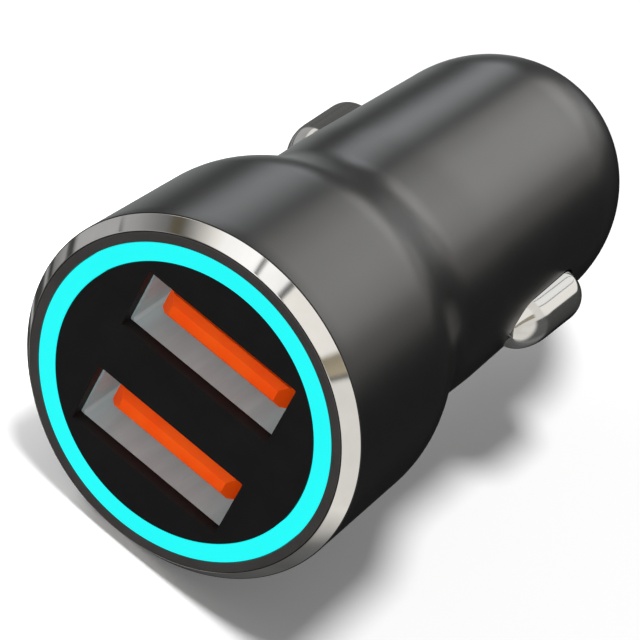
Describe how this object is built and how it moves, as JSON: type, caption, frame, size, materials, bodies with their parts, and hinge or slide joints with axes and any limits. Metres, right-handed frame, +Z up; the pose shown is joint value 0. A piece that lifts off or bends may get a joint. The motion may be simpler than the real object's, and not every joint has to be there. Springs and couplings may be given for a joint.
{
  "type": "car usb charger",
  "caption": "Plug-in car socket charger: black moulded head and barrel, bevelled bright bezel, glowing ring, stacked USB-A ports, sprung side contacts and tip.",
  "frame": {"origin": "centre of the front face, in the plane of the light ring and the face plate", "axes": "+Y along the plug's axis from the front face to the sprung tip, +X along the width of the ports to the right side contact as seen from the front, +Z up across the stacked ports"},
  "size_m": [0.0266, 0.055, 0.0266],
  "materials": {
    "black_shell": "satin black moulded plastic",
    "bright_bezel": "polished bevel",
    "dark_rim": "dark grey-brown moulded plastic",
    "light_ring": "translucent, lit cyan",
    "face_black": "matte black",
    "shell_steel": "dull tinned sheet",
    "orange_tongue": "bright orange moulded plastic",
    "gold_strip": "plated strip",
    "circuit_board": "green solder mask",
    "led_body": "clear over white",
    "ferrite": "dull ferrite",
    "copper_wire": "enamelled copper wire",
    "can_aluminium": "drawn can",
    "chip_plastic": "moulded chip body",
    "small_parts": "ceramic with tinned ends",
    "terminal_brass": "stamped brass",
    "spring_steel": "drawn wire",
    "nickel_contact": "bright nickel plate"
  },
  "bodies": {
    "charger": {"housing": "black_shell", "chrome_bezel": "bright_bezel", "front_frame": "dark_rim", "light_guide": "light_ring", "face_plate": "face_black", "usb_shell_upper": "shell_steel", "usb_shell_lower": "shell_steel", "usb_tongue_upper": "orange_tongue", "usb_tongue_lower": "orange_tongue", "usb_pins_upper": "gold_strip", "usb_pins_lower": "gold_strip", "port_board": "circuit_board", "leds": "led_body", "main_board": "circuit_board", "inductor_core": "ferrite", "inductor_winding": "copper_wire", "input_capacitor": "can_aluminium", "output_capacitor": "can_aluminium", "converter_chip": "chip_plastic", "protocol_chip": "chip_plastic", "rectifier_diode": "chip_plastic", "input_fuse": "small_parts", "chip_parts": "small_parts", "ground_terminal_left": "terminal_brass", "ground_terminal_right": "terminal_brass", "contact_spring_left": "spring_steel", "contact_spring_right": "spring_steel", "positive_terminal": "terminal_brass", "tip_spring": "spring_steel"},
    "left_contact": {"side_contact_left": "nickel_contact"},
    "right_contact": {"side_contact_right": "nickel_contact"},
    "tip": {"centre_tip": "nickel_contact"}
  },
  "joints": [
    {"name": "left_contact_press", "type": "slide", "parent": "charger", "child": "left_contact", "axis": [1, 0, 0], "range_m": [0, 0.0016], "stiffness_N_per_m": 500, "deforming": ["contact_spring_left"]},
    {"name": "right_contact_press", "type": "slide", "parent": "charger", "child": "right_contact", "axis": [-1, 0, 0], "range_m": [0, 0.0016], "stiffness_N_per_m": 500, "deforming": ["contact_spring_right"]},
    {"name": "tip_press", "type": "slide", "parent": "charger", "child": "tip", "axis": [0, -1, 0], "range_m": [0, 0.003], "stiffness_N_per_m": 800, "deforming": ["tip_spring"]}
  ]
}
